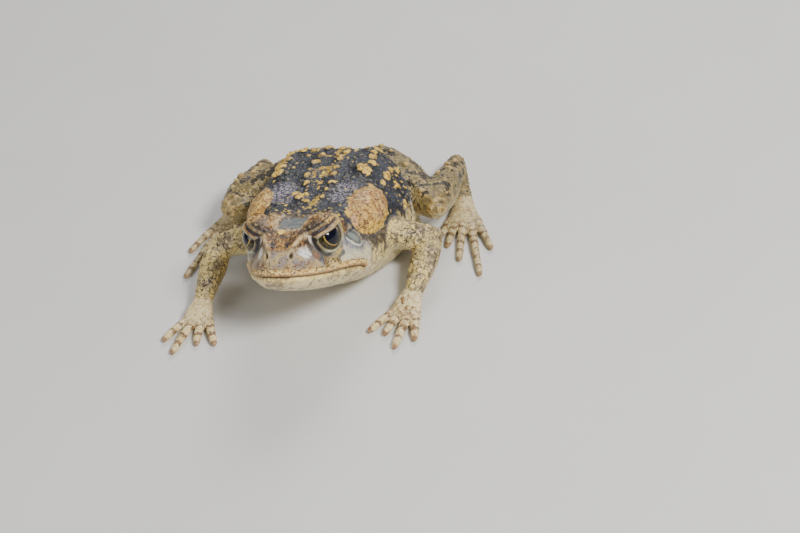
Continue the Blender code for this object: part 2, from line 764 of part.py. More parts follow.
def build():
    clear_scene()
    looks = {name: make_material("skin_" + name, colour, 0.1 if name == "eye" else 0.55)
             for name, colour in SKIN_COLOURS.items()}
    made = {}
    random.seed(WART_SEED)
    head, head_core, head_surface = make_head()
    torso = make_torso()
    press_to_floor(torso)
    torso_core, torso_surface = grown(torso), Surface(torso)
    cores = [head_core, torso_core]
    trunk = list(cores)
    for side_name, sign in SIDES.items():
        gland = make_parotoid("parotoid_" + side_name, sign, torso_surface)
        gland_core = grown(gland)
        trunk.append(gland_core)
        cores.append(gland_core)
        drum = make_eardrum("eardrum_" + side_name, sign, head_surface)
        made[keep_clear(gland, [head_core, torso_core])] = "gland"
        made[keep_clear(drum, [head_core])] = "eardrum"
        made[to_object("eye_" + side_name, eye_ball(sign))] = "eye"
    made[part_jaw(head)] = "throat"
    made[head] = "head"
    made[torso] = "back"
    for side_name, sign in SIDES.items():
        limbs = (*make_arm(side_name, sign), *make_leg(side_name, sign))
        upper, fore, hand, fingers, thigh, shank, tarsus, foot, toes = limbs
        pieces = [upper, fore, hand, *fingers, thigh, shank, tarsus, foot, *toes]
        for piece in pieces:
            press_to_floor(piece)
        core = {piece: grown(piece) for piece in pieces}
        cores += core.values()
        rules = [
            (upper, trunk), (fore, [torso_core, core[upper]]), (hand, [core[fore]]),
            (thigh, [torso_core, core[upper], core[fore]]),
            (shank, [torso_core, core[thigh]]), (tarsus, [core[thigh], core[shank]]),
            (foot, [core[shank], core[tarsus]]),
        ]
        rules += [(finger, [core[hand], core[fore], *(core[f] for f in fingers[:k])])
                  for k, finger in enumerate(fingers)]
        rules += [(toe, [core[foot], core[tarsus], *(core[t] for t in toes[:k])])
                  for k, toe in enumerate(toes)]
        for piece, neighbours in rules:
            keep_clear(piece, neighbours)
            made[piece] = "digit" if piece in fingers or piece in toes else "limb"
    trees = {core: Surface(core).tree for core in cores}
    limbs = [core for core in cores if core not in (head_core, torso_core)]
    others = [trees[core] for core in (head_core, *limbs)]
    join_warts(torso, list(torso_warts(torso_surface, others)))
    thin_out(torso, TORSO_DETAIL)
    for piece in list(made):
        if piece.name.rsplit("_", 1)[0] in LIMB_WARTS:
            own = piece.name + "_cutter"
            others = [tree for core, tree in trees.items() if core.name != own]
            join_warts(piece, list(limb_warts(piece, others)))
    for core in cores:
        bpy.data.objects.remove(core)
    centre_on_floor(list(made))
    for piece, look in made.items():
        finish(piece, looks[look])


build()
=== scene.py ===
import math

import bmesh
import bpy
import numpy as np
from mathutils import Matrix, Vector, noise
from mathutils.bvhtree import BVHTree
from mathutils.kdtree import KDTree


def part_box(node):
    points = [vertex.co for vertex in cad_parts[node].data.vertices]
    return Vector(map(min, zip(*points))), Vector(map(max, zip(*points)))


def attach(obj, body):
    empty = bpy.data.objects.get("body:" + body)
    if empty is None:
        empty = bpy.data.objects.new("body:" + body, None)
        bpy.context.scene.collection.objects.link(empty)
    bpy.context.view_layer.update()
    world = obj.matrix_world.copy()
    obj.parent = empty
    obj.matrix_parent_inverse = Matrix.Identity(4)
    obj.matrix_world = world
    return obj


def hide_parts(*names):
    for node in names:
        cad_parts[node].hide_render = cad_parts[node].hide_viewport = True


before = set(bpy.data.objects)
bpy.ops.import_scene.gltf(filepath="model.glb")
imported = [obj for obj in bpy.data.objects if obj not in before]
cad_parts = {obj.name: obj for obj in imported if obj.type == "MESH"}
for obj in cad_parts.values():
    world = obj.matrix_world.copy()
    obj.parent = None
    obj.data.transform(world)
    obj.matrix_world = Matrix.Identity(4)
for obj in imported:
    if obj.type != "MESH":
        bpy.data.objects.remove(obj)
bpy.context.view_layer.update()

mm = 0.001
sides = {"left": 1, "right": -1}
print("frame loaded")


# u runs back from the snout, v out to the toad's left and w up, in mm

bodyLine = {
    "headPitch": 27.0,          # degrees, nose up
    "backPitch": 15.0,
    "neckStart": 46.0,
    "neckEnd": 74.0,
    "length": 140.0,
    "eye": (21.0, 14.1, 9.5),   # the left eyeball's middle
}


def boxMiddle(name):
    low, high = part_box(name)
    return (np.array(low) + np.array(high)) / 2


def pitchAt(u):
    t = np.clip((u - bodyLine["neckStart"]) / (bodyLine["neckEnd"] - bodyLine["neckStart"]), 0, 1)
    change = bodyLine["backPitch"] - bodyLine["headPitch"]
    return np.radians(bodyLine["headPitch"] + change * t * t * (3 - 2 * t))


headTilt = math.radians(bodyLine["headPitch"])
headAxes = np.array([[0, math.cos(headTilt), -math.sin(headTilt)],
                     [1, 0, 0],
                     [0, math.sin(headTilt), math.cos(headTilt)]])
snoutTip = boxMiddle("eye_left") - np.array(bodyLine["eye"]) @ headAxes * mm

lineStep = 0.5
lineU = np.arange(-10, bodyLine["length"] + 10, lineStep)
linePitch = pitchAt(lineU)
lineY = np.cumsum(np.cos(pitchAt(lineU - lineStep / 2))) * lineStep
lineZ = -np.cumsum(np.sin(pitchAt(lineU - lineStep / 2))) * lineStep
lineY += snoutTip[1] / mm - np.interp(0, lineU, lineY)
lineZ += snoutTip[2] / mm - np.interp(0, lineU, lineZ)


def toBody(places):
    # places in mm; along the straight head this is exact, and on the neck's bend nearly so
    found, batch = np.empty_like(places), 20000
    for start in range(0, len(places), batch):
        part = places[start:start + batch]
        far = (part[:, 1:2] - lineY) ** 2 + (part[:, 2:3] - lineZ) ** 2
        near = far.argmin(axis=1)
        back, up = part[:, 1] - lineY[near], part[:, 2] - lineZ[near]
        cos, sin = np.cos(linePitch[near]), np.sin(linePitch[near])
        found[start:start + batch, 0] = lineU[near] + back * cos - up * sin
        found[start:start + batch, 1] = part[:, 0] - snoutTip[0] / mm
        found[start:start + batch, 2] = back * sin + up * cos
    return found


def headPoint(u, v, w):
    return Vector(snoutTip + np.array((u, v, w)) @ headAxes * mm)


def rise(values, low, high):
    t = np.clip((values - low) / (high - low), 0, 1)
    return t * t * (3 - 2 * t)


def hump(values, width):
    return np.exp(-(values / width) ** 2)


def ridges(values, rows):
    # each row is a ridge's height, or a groove's depth as a negative one, its middle and its width
    return sum(height * hump(values - middle, width) for height, middle, width in rows)


cameraPlace = {
    "azimuth": 21.0,            # degrees from straight in front, towards the toad's left
    "elevation": 36.0,
    "turned": 14.0,             # the picture's content, counter-clockwise
    "distance": 0.8,
    "lens": 85.3,
    "sensor": 36.0,
    "picture": (800, 533),
    "lidTops": (22.8, 0.0, 18.0),
    "pixel": (291.0, 216.0),    # where the middle between the lid tops lies in the picture
}


def addCamera():
    c = cameraPlace
    azimuth, elevation, turned = (math.radians(c[k]) for k in ("azimuth", "elevation", "turned"))
    toCamera = Vector((math.sin(azimuth) * math.cos(elevation),
                       -math.cos(azimuth) * math.cos(elevation), math.sin(elevation)))
    right = Vector((math.cos(azimuth), math.sin(azimuth), 0))
    up = toCamera.cross(right)
    across = right * math.cos(turned) - up * math.sin(turned)
    above = right * math.sin(turned) + up * math.cos(turned)
    frameTurn = Matrix((across, above, toCamera)).transposed()
    wide, high = c["picture"]
    pixels = c["lens"] / c["sensor"] * wide
    seen = Vector(((c["pixel"][0] - wide / 2) / pixels, (high / 2 - c["pixel"][1]) / pixels, -1))
    frameTurn = frameTurn @ seen.rotation_difference(Vector((0, 0, -1))).to_matrix()
    data = bpy.data.cameras.new("camera")
    data.sensor_width = c["sensor"]
    data.lens = c["lens"]
    data.clip_start = 0.01
    camera = bpy.data.objects.new("camera", data)
    place = headPoint(*c["lidTops"]) + toCamera * c["distance"]
    camera.matrix_world = Matrix.Translation(place) @ frameTurn.to_4x4()
    bpy.context.scene.collection.objects.link(camera)
    bpy.context.scene.camera = camera


addCamera()
print("camera set")


class Value:
    # a shader socket that takes part in sums

    def __init__(self, paint, socket):
        self.paint, self.socket = paint, socket

    def sum(self, operation, first, second):
        return self.paint.node("ShaderNodeMath", {"operation": operation}, {0: first, 1: second})

    def __add__(self, other):
        return self.sum("ADD", self, other)

    def __sub__(self, other):
        return self.sum("SUBTRACT", self, other)

    def __rsub__(self, other):
        return self.sum("SUBTRACT", other, self)

    def __mul__(self, other):
        return self.sum("MULTIPLY", self, other)

    def __truediv__(self, other):
        return self.sum("DIVIDE", self, other)

    def __rtruediv__(self, other):
        return self.sum("DIVIDE", other, self)

    def __pow__(self, other):
        return self.sum("POWER", self, other)

    __radd__, __rmul__ = __add__, __mul__


class Paint:
    # one material and what its nodes are made with

    def __init__(self, name):
        self.material = bpy.data.materials.new(name)
        self.material.use_nodes = True
        self.tree = self.material.node_tree
        self.shader = self.tree.nodes["Principled BSDF"]

    def node(self, kind, settings={}, inputs={}, output=0):
        made = self.tree.nodes.new(kind)
        for key, value in settings.items():
            setattr(made, key, value)
        for key, value in inputs.items():
            self.feed(made.inputs[key], value)
        return Value(self, made.outputs[output])

    def feed(self, entry, value):
        # links a varying value, and sets a fixed one
        if isinstance(value, Value):
            self.tree.links.new(value.socket, entry)
        else:
            entry.default_value = value

    def attribute(self, name, output="Fac"):
        return self.node("ShaderNodeAttribute", {"attribute_name": name}, {}, output)

    def noise(self, place, scale, detail=2.0, roughness=0.5, distortion=0.0):
        return self.node("ShaderNodeTexNoise", {}, {
            "Vector": place, "Scale": scale, "Detail": detail, "Roughness": roughness,
            "Distortion": distortion})

    def cells(self, place, scale, feature="F1"):
        return self.node("ShaderNodeTexVoronoi", {"feature": feature}, {
            "Vector": place, "Scale": scale})

    def step(self, value, low, high):
        return self.node("ShaderNodeMapRange", {"interpolation_type": "SMOOTHSTEP"},
                         {"Value": value, "From Min": low, "From Max": high})

    def band(self, value, middle, width):
        # 1 where the value is near the middle, fading over the width
        return (self.step(value, middle - width, middle - width * 0.3)
                * self.step(value, middle + width, middle + width * 0.3))

    def most(self, first, second):
        return self.node("ShaderNodeMath", {"operation": "MAXIMUM"}, {0: first, 1: second})

    def blend(self, share, first, second):
        # each of the two is a colour socket, or red, green and blue as tint takes them
        one, two = (look if isinstance(look, Value) else tint(*look) for look in (first, second))
        return self.node("ShaderNodeMix", {"data_type": "RGBA"}, {0: share, 6: one, 7: two}, 2)

    def mottled(self, grain, low, high, first, second):
        return self.blend(self.step(grain, low, high), first, second)

    def over(self, colour, *layers):
        # lays each (share, colour) over the ones before
        for share, look in layers:
            colour = self.blend(share, colour, look)
        return colour

    def finish(self, colour, roughness, height, distance, strength, **constants):
        bump = self.node("ShaderNodeBump", {}, {
            "Height": height, "Distance": distance, "Strength": strength})
        for name, value in (("Base Color", colour), ("Roughness", roughness), ("Normal", bump)):
            self.feed(self.shader.inputs[name], value)
        for name, value in constants.items():
            self.shader.inputs[name.replace("_", " ")].default_value = value
        return self.material


def tint(red, green, blue):
    # a colour as it looks on a screen, 0 to 255
    return (*((c / 255 / 12.92) if c < 11 else ((c / 255 + 0.055) / 1.055) ** 2.4
              for c in (red, green, blue)), 1.0)


# the skin: every flesh part of the frame joined, remeshed, smoothed and sculpted

skin = {
    "voxel": 0.5,
    "growth": 0.22,             # closes the gaps between the parts
    "smoothTimes": 60,
    "smoothing": {"torso": 1.0, "head": 0.3, "lower_jaw": 0.8, "parotoid": 0.8, "eardrum": 0.25,
                  "upper_arm": 0.6, "forearm": 0.6, "hand": 0.25, "finger": 0.11, "thigh": 0.8,
                  "shank": 0.7, "tarsus": 0.4, "foot": 0.25, "toe": 0.11},
    "eyeZone": 12.0,            # nearer than this to an eye's middle, smoothed no more than:
    "eyeSmoothing": 0.16,
    "knobHeight": 1.2,          # the parts' own warts, brought back after the smoothing
    "folds": ((0.26, 0.26, 0), (0.14, 0.65, 9)),    # height, scale and shift of the noise
    "neck": (54.0, 12.0),       # where the creases behind the jaw are, and how far they reach
    "creaseDepth": 0.5,
    "thinLevels": (0.3, 0.7),   # shares of head at which the skin keeps more of its triangles
    "thinWeights": (1.0, 0.5, 0.25),
    "triangles": 196000,
}
kinds = list(skin["smoothing"])
limbKinds = ("upper_arm", "forearm", "thigh", "shank", "tarsus")


def kindOf(name):
    return next(kind for kind in kinds if name.startswith(kind))


def nodeCopy(name, growth=0.0):
    bm = bmesh.new()
    bm.from_mesh(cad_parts[name].data)
    bmesh.ops.remove_doubles(bm, verts=bm.verts, dist=1e-6)
    bm.normal_update()
    moves = [(vert, vert.co + vert.normal * growth * mm) for vert in bm.verts]
    for vert, place in moves:
        vert.co = place
    return bm


def addTo(form, bm):
    mesh = bpy.data.meshes.new("part")
    bm.to_mesh(mesh)
    bm.free()
    form.from_mesh(mesh)
    bpy.data.meshes.remove(mesh)


fleshNodes = [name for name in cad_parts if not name.startswith("eye_")]

web = {"reach": 0.46, "notch": 0.26, "bottom": 1.2, "thickness": 0.9}


def digitLine(name, root):
    # where a digit starts and ends, in the frame's metres
    points = [vert.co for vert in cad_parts[name].data.vertices]
    tip = max(points, key=lambda point: (point - root).length)
    start = min(points, key=lambda point: (point - root).length)
    return start.copy(), tip.copy()


def addWebs(form):
    # a thin sheet of skin between neighbouring toes, cut in towards the foot
    for sideName in sides:
        root = Vector(boxMiddle("foot_" + sideName))
        toes = [digitLine(f"toe_{k}_{sideName}", root) for k in range(1, 6)]
        for one, two in zip(toes, toes[1:]):
            ends = [start.lerp(tip, web["reach"]) for start, tip in (one, two)]
            inner = [start.lerp(tip, web["notch"]) for start, tip in (one, two)]
            outline = [root, ends[0], (inner[0] + inner[1]) / 2, ends[1]]
            bm = bmesh.new()
            corners = [bm.verts.new((p.x, p.y, web["bottom"] * mm)) for p in outline]
            faces = [bm.faces.new([corners[k] for k in three]) for three in ((0, 1, 2), (0, 2, 3))]
            made = bmesh.ops.extrude_face_region(bm, geom=faces, use_keep_orig=True)
            raised = [item for item in made["geom"] if isinstance(item, bmesh.types.BMVert)]
            bmesh.ops.translate(bm, verts=raised, vec=(0, 0, web["thickness"] * mm))
            bmesh.ops.recalc_face_normals(bm, faces=bm.faces)
            addTo(form, bm)


def joinFlesh():
    # the parts as they are, for finding whose flesh a point is, and the grown ones to remesh
    plain, grown, owners = bmesh.new(), bmesh.new(), []
    for name in fleshNodes:
        before = len(plain.faces)
        addTo(plain, nodeCopy(name))
        owners += [name] * (len(plain.faces) - before)
        addTo(grown, nodeCopy(name, skin["growth"]))
    for side in sides.values():
        u, v, w = bodyLine["eye"]
        place = Matrix.Translation(headPoint(u, v * side, w))
        bmesh.ops.create_uvsphere(grown, u_segments=40, v_segments=28,
                                  radius=(eye["radius"] + eye["covered"]) * mm, matrix=place)
    addWebs(grown)
    tree = BVHTree.FromBMesh(plain)
    plain.free()
    return grown, tree, owners


def applied(piece):
    # the piece's mesh with its modifiers applied
    graph = bpy.context.evaluated_depsgraph_get()
    mesh = bpy.data.meshes.new_from_object(piece.evaluated_get(graph))
    piece.modifiers.clear()
    old, piece.data = piece.data, mesh
    bpy.data.meshes.remove(old)
    return mesh


def newPiece(name, bm):
    mesh = bpy.data.meshes.new(name)
    bm.to_mesh(mesh)
    bm.free()
    piece = bpy.data.objects.new(name, mesh)
    bpy.context.scene.collection.objects.link(piece)
    return piece


def store(mesh, name, values):
    # a number or a vector for each point, which the material reads
    values = np.array(values, np.float32)
    kind, key = ("FLOAT_VECTOR", "vector") if values.ndim == 2 else ("FLOAT", "value")
    mesh.attributes.new(name, kind, "POINT").data.foreach_set(key, values.ravel())


def treeOf(places):
    tree = KDTree(len(places))
    for index, place in enumerate(places):
        tree.insert(place, index)
    tree.balance()
    return tree


class Clay:
    # a mesh held as arrays in mm, so that whole regions are moved at once

    def __init__(self, mesh):
        self.mesh = mesh
        count = len(mesh.vertices)
        flat = np.empty(count * 3, np.float32)
        mesh.vertices.foreach_get("co", flat)
        self.places = flat.reshape(-1, 3).astype(float) / mm
        ends = np.empty(len(mesh.edges) * 2, np.int32)
        mesh.edges.foreach_get("vertices", ends)
        self.ends = ends.reshape(-1, 2)
        self.links = np.bincount(ends, minlength=count)[:, None]

    def relax(self, values, times, amount=0.5):
        one, two = self.ends.T
        for _ in range(times):
            around = np.empty_like(values)
            for k in range(values.shape[1]):
                column = values[:, k]
                around[:, k] = np.bincount(one, column[two], len(values))
                around[:, k] += np.bincount(two, column[one], len(values))
            values = values + amount * (around / self.links - values)
        return values

    def normals(self):
        self.mesh.vertices.foreach_set("co", (self.places * mm).astype(np.float32).ravel())
        self.mesh.update()
        flat = np.empty(len(self.places) * 3, np.float32)
        self.mesh.vertex_normals.foreach_get("vector", flat)
        return flat.reshape(-1, 3).astype(float)

    def push(self, amount):
        self.places += self.normals() * amount[:, None]


def noiseAt(places, scale, offset=0.0):
    shift = Vector((offset, offset * 0.7, -offset))
    return np.array([noise.noise(Vector(place) * scale + shift) for place in places])


def fromLine(places, points):
    # the distance from each place to a line through the points
    nearest = np.full(len(places), 1e9)
    for start, end in zip(points, points[1:]):
        start, end = np.array(start, float), np.array(end, float)
        along = end - start
        t = np.clip((places - start) @ along / (along @ along), 0, 1)
        apart = np.linalg.norm(places - start - t[:, None] * along, axis=1)
        nearest = np.minimum(nearest, apart)
    return nearest


eye = {
    "radius": 6.9,
    "forward": 31.0,            # how far the gaze turns forwards from straight out
    "raised": 6.0,
    "halfLong": 60.0,           # the lids' opening, in degrees at the eyeball's middle
    "halfHigh": 50.0,
    "brow": 23.0,               # the upper lid's edge is a line this far above the gaze
    "browSlope": 0.36,          # and it rises towards the back
    "browBlend": 7.0,
    "lidEdge": 0.7,             # thickness of the lids at their edge
    "lidBrow": 0.75,            # how much thicker the upper one is
    "edgeWidth": 0.4,
    "lidFolds": ((0.25, 0.9, 0.6), (-0.5, 2.3, 0.5), (0.45, 3.5, 0.7), (-0.3, 4.7, 0.4)),
    "lowerRings": ((0.35, 0.9, 0.75), (-0.42, 2.3, 0.45), (0.38, 3.2, 0.55), (-0.3, 4.4, 0.5)),
    "lidWidth": 8.5,            # the lids' own shape ends this far outside their edge
    "lidReach": 13.5,           # and this far from the eyeball's middle
    "lidTurn": 120.0,           # and this many degrees off the gaze
    "lowerLid": (0.3, 1.3, 1.2),    # its most height: a step, then a slope from so far outside
    "sunk": 0.7,                # skin under the eyeball lies this far inside it
    "covered": 0.45,            # and at first this far outside it
    "pupilLong": 0.66,
    "pupilHigh": 0.53,
    "pupilTilt": 20.0,
    "cornea": 0.25,
}

head = {
    "faceEnd": 50.0,
    "mouth": ((-4, -3.3), (2, -3.8), (8, -4.5), (15, -5.1), (23, -5.5), (30, -6), (37, -7.2),
              (43, -9.4)),
    "mouthEnd": (40.5, 44.0),               # the line and the lips fade out between these
    "mouthReach": 12.0,                     # and end this far above and below the line
    # the mouth line, the upper lip, the groove over it and the lower lip
    "lips": ((-1.1, 0.0, 0.5), (0.5, 1.4, 0.9), (-0.3, 3.2, 0.7), (0.35, -1.4, 0.9)),
    "darkLine": 0.45,
    "paleLip": (1.6, 1.7),                  # the middle and width of the pale band
    "nostril": (2.6, 4.6, 5.0),
    "nostrilTurn": (1.0, 0.0, 0.9),
    "nostrilStretch": 0.45,
    "nostrilRidges": ((0.4, 1.4, 0.55), (-1.3, 0.0, 0.62)),
    "nostrilDark": 0.75,
    "drum": (37.2, 6.0, 3.1, 3.6),          # u, w and its two half sizes
    "drumInner": 20.0,                      # nothing nearer the middle than this belongs to it
    "drumDepth": 0.6,
    "drumRim": ((0.4, 1.1, 0.15),),
    "crests": (
        ((3.2, 5.6, 9), (7, 7.6, 11), (11.5, 10, 13), (15, 11.5, 14)),
        ((14.6, 11.5, 14), (15, 14.5, 11.6), (15.8, 17, 8.6)),
        ((15, 10.8, 14.4), (19, 7.6, 15), (26, 7.0, 15.8), (32, 8.4, 16.4)),
        ((31.5, 9, 16.6), (33, 13.6, 15), (33.8, 17.6, 12.6), (33.6, 20.4, 9.6)),
        ((34.2, 18.6, 13), (38.2, 20.6, 12.8), (42.6, 22, 13.4)),
    ),
    "crestHeight": 0.55,
    "crestWidth": 0.95,
}


def gazeOf(side):
    # where an eye looks, as u, v and w
    turned, raised = math.radians(eye["forward"]), math.radians(eye["raised"])
    return np.array((-math.sin(turned) * math.cos(raised),
                     math.cos(turned) * math.cos(raised) * side, math.sin(raised)))


def eyeAngles(local):
    # around one eye: distance from its middle, mm outside the lids' edge, share of upper lid,
    # how far back it lies round the eye, and degrees off the gaze
    rel = local - bodyLine["eye"]
    gaze = gazeOf(1)
    back = np.array((gaze[1], -gaze[0], 0.0)) / math.hypot(gaze[0], gaze[1])
    up = np.cross(back, gaze)
    apart = np.linalg.norm(rel, axis=1)
    angle = np.degrees(np.arccos(np.clip(rel @ gaze / apart, -1, 1)))
    along, high = rel @ back, rel @ up
    flat = np.maximum(np.hypot(along, high), 1e-6)
    along, high = along / flat, high / flat
    edge = 1 / np.hypot(along / eye["halfLong"], high / eye["halfHigh"])
    almond = angle - edge
    slope = eye["browSlope"]
    brow = (angle * high - eye["brow"] - slope * angle * along) / math.hypot(1, slope)
    outside = (almond + brow + np.hypot(almond - brow, eye["browBlend"])) / 2
    upper = rise(brow - almond, -9, 9)
    return apart, outside * math.pi / 180 * eye["radius"], upper, along, angle


def mirrored(body):
    local = body.copy()
    local[:, 1] = np.abs(local[:, 1])
    return local


def sculptHead(clay, body, onHead):
    # crests, lips, mouth line, nostrils and eardrums
    where = np.flatnonzero((body[:, 0] < head["faceEnd"]) & (onHead > 0.02))
    here = mirrored(body)[where]
    away = 30.0     # stands for nowhere near

    def spread(values, elsewhere=0.0):
        # from the points of the face to all the points
        full = np.full(len(body), elsewhere)
        full[where] = values
        return full

    crest = spread(np.max([hump(fromLine(here, points), head["crestWidth"])
                           for points in head["crests"]], axis=0))

    mouthU, mouthW = zip(*head["mouth"])
    steps = np.arange(-4, 44)
    slope = np.gradient(np.interp(steps, mouthU, mouthW))
    lean = np.cos(np.arctan(np.interp(here[:, 0], steps, slope)))
    above = spread((here[:, 2] - np.interp(here[:, 0], mouthU, mouthW)) * lean, away)
    reach = head["mouthReach"]
    outer = (1 - rise(body[:, 0], *head["mouthEnd"])) * (np.abs(above) < reach)

    spot = here[np.linalg.norm(here - head["nostril"], axis=1).argmin()]
    slit = np.array(head["nostrilTurn"]) / np.linalg.norm(head["nostrilTurn"])
    rel = here - spot
    rel -= head["nostrilStretch"] * (rel @ slit)[:, None] * slit
    apart = np.linalg.norm(rel, axis=1)

    u, w, long, high = head["drum"]
    ring = np.hypot((here[:, 0] - u) / long, (here[:, 2] - w) / high)
    drum = spread(np.where(here[:, 1] < head["drumInner"], away, ring), away)

    clay.push(crest * head["crestHeight"] + ridges(above, head["lips"]) * outer
              + spread(ridges(apart, head["nostrilRidges"]))
              - head["drumDepth"] * np.sqrt(np.clip(1 - drum ** 2, 0, 1))
              + ridges(drum, head["drumRim"]))
    middle, width = head["paleLip"]
    return {
        "crest": crest,
        "aboveMouth": np.clip(above, -reach, reach),
        "mouth": hump(above, head["darkLine"]) * outer,
        "lip": hump(above - middle, width) * outer,
        "nostril": spread(hump(apart, head["nostrilDark"])),
        "drum": np.clip(drum, 0, 3),
    }


def sculptLids(clay):
    # the skin round each eye is a height over the eyeball: sunk inside the lids' edge, thick
    # outside it
    body = toBody(clay.places)
    apart, outside, upper, along, angle = eyeAngles(mirrored(body))
    near = (apart < eye["lidReach"]) & (angle < eye["lidTurn"])
    radius = eye["radius"]
    thick = eye["lidEdge"] + eye["lidBrow"] * upper * rise(outside, -0.2, 1.4)
    sunken = np.minimum(apart, radius - eye["sunk"])
    lid = np.maximum(apart, radius + thick)
    step, slope, start = eye["lowerLid"]
    most = radius + thick + step + slope * np.clip(outside - start, 0, None)
    lid += (np.minimum(lid, most) - lid) * (1 - upper)
    folded = ridges(outside, eye["lidFolds"]) * upper
    folded += ridges(outside, eye["lowerRings"]) * (1 - upper)
    lid += folded * rise(eye["lidWidth"] - outside, 0, 2)
    inside = rise(outside, -eye["edgeWidth"], eye["edgeWidth"])
    wanted = sunken + (lid - sunken) * inside
    share = near & (outside < eye["lidWidth"])
    u, v, w = bodyLine["eye"]
    middle = np.stack([np.full(len(body), u), v * np.sign(body[:, 1]), np.full(len(body), w)],
                      axis=1)
    moved = middle + (body - middle) * (wanted / apart)[:, None]
    clay.places[share] = (snoutTip / mm + moved @ headAxes)[share]
    return {"fromLid": np.where(near, np.clip(outside, -3, 30), 30.0),
            "browSide": np.where(near, upper, 0.0), "lidBack": np.where(near, along, 0.0)}


# warts, granules and pores: the region, their number, the least distance between two, the radius
# from and to, the height for a radius of 1, and the share of them with a pale ochre cap

warts = {
    "knobs": ("back", 60, 5.0, (1.1, 2.2), 0.5, 0.35),
    "small": ("back", 420, 2.1, (0.6, 1.1), 0.46, 0.06),
    "flank": ("flank", 260, 2.3, (0.6, 1.35), 0.5, 0.3),
    "limb": ("limb", 460, 2.0, (0.5, 1.0), 0.45, 0.3),
    "lid": ("lid", 130, 1.4, (0.65, 1.05), 0.62, 0.5),
    "gland": ("gland", 70, 2.6, (1.1, 1.9), 0.22, 0.5),
    "grains": ("rough", 3600, 1.1, (0.35, 0.6), 0.4, 0.04),
    "pores": ("gland", 150, 1.6, (0.28, 0.5), -0.6, 0.0),
}
wartSeed = 12


def scatter(places, chance, number, apart, random):
    # places picked by chance, none nearer than apart to another
    luck = random.random(len(places)) ** (1 / np.maximum(chance, 1e-4)) * (chance > 0.02)
    order = np.argsort(luck)[::-1]
    kept, cells = [], {}
    steps = [(i, j, k) for i in (-1, 0, 1) for j in (-1, 0, 1) for k in (-1, 0, 1)]
    for index in order[:number * 9]:
        if len(kept) == number or luck[index] == 0:
            break
        i, j, k = (int(c // apart) for c in places[index])
        taken = [other for a, b, c in steps for other in cells.get((i + a, j + b, k + c), ())]
        if all(np.linalg.norm(places[index] - places[other]) > apart for other in taken):
            kept.append(index)
            cells.setdefault((i, j, k), []).append(index)
    return kept


def raiseWarts(clay, chances):
    # raises domes with uneven outlines, a little longer one way, and sinks pores
    random = np.random.default_rng(wartSeed)
    places, normals = clay.places.copy(), clay.normals()
    tree = treeOf(places)
    lift, wart, cap, pore = np.zeros((4, len(places)))
    for name, (region, number, apart, radii, height, bright) in warts.items():
        spots = scatter(places, chances[region], number, apart, random)
        for spot in spots:
            radius = random.uniform(*radii)
            longer = random.uniform(1.0, 1.6)
            near = np.array([hit[1] for hit in tree.find_range(places[spot], radius * 2)])
            offset = places[near] - places[spot]
            side = np.cross(normals[spot], random.normal(size=3))
            side /= np.linalg.norm(side)
            across = np.cross(normals[spot], side)
            x, y = offset @ side / longer, offset @ across
            turn = np.arctan2(y, x)
            uneven = (1 + 0.16 * np.sin(3 * turn + random.uniform(0, 6))
                      + 0.1 * np.sin(5 * turn + random.uniform(0, 6)))
            dome = np.clip(1 - (np.hypot(x, y) / (radius * uneven)) ** 2, 0, 1) ** 1.3
            if height < 0:
                lift[near] += dome * radius * height
                pore[near] = np.maximum(pore[near], dome)
                continue
            lift[near] = np.maximum(lift[near], dome * radius * height)
            wart[near] = np.maximum(wart[near], dome * min(1.0, radius))
            if random.random() < bright:
                cap[near] = np.maximum(cap[near], dome)
        print("  ", name, len(spots))
    clay.push(lift)
    return wart, cap, pore


def tipDistances(clay, owner):
    # on a finger or toe, how far from its tip each point is
    away = np.full(len(clay.places), 60.0)      # elsewhere, farther than any digit is long
    names = np.array(fleshNodes)[owner]
    for name in fleshNodes:
        if kindOf(name) not in ("finger", "toe"):
            continue
        base = ("hand_" if name.startswith("finger") else "foot_") + name.rsplit("_", 1)[1]
        tip = np.array(digitLine(name, Vector(boxMiddle(base)))[1]) / mm
        own = names == name
        away[own] = np.linalg.norm(clay.places[own] - tip, axis=1)
    return away


def smoothFlesh(clay, part, share):
    # softens the joins more than the face and digits, then brings back the parts' own warts
    clay.places = clay.relax(clay.places, 5)
    rough = clay.places.copy()
    amount = share @ np.array(list(skin["smoothing"].values()))
    fromEye = np.linalg.norm(mirrored(toBody(clay.places)) - bodyLine["eye"], axis=1)
    amount = np.where(fromEye < skin["eyeZone"], np.minimum(amount, skin["eyeSmoothing"]), amount)
    clay.places = clay.relax(clay.places, skin["smoothTimes"], 0.5 * amount[:, None])
    bump = ((rough - clay.places) * clay.normals()).sum(axis=1)
    knob = rise(clay.relax(bump[:, None], 3)[:, 0], 0.16, 0.55)
    knob *= np.clip(sum(part[k] for k in ("torso", "thigh", "shank", "forearm", "upper_arm")), 0, 1)
    knob *= rise(clay.places[:, 2], 4, 8)
    ragged = 0.75 + 0.5 * noiseAt(clay.places, 0.9, 5)
    clay.push(knob * ragged * skin["knobHeight"])
    return knob


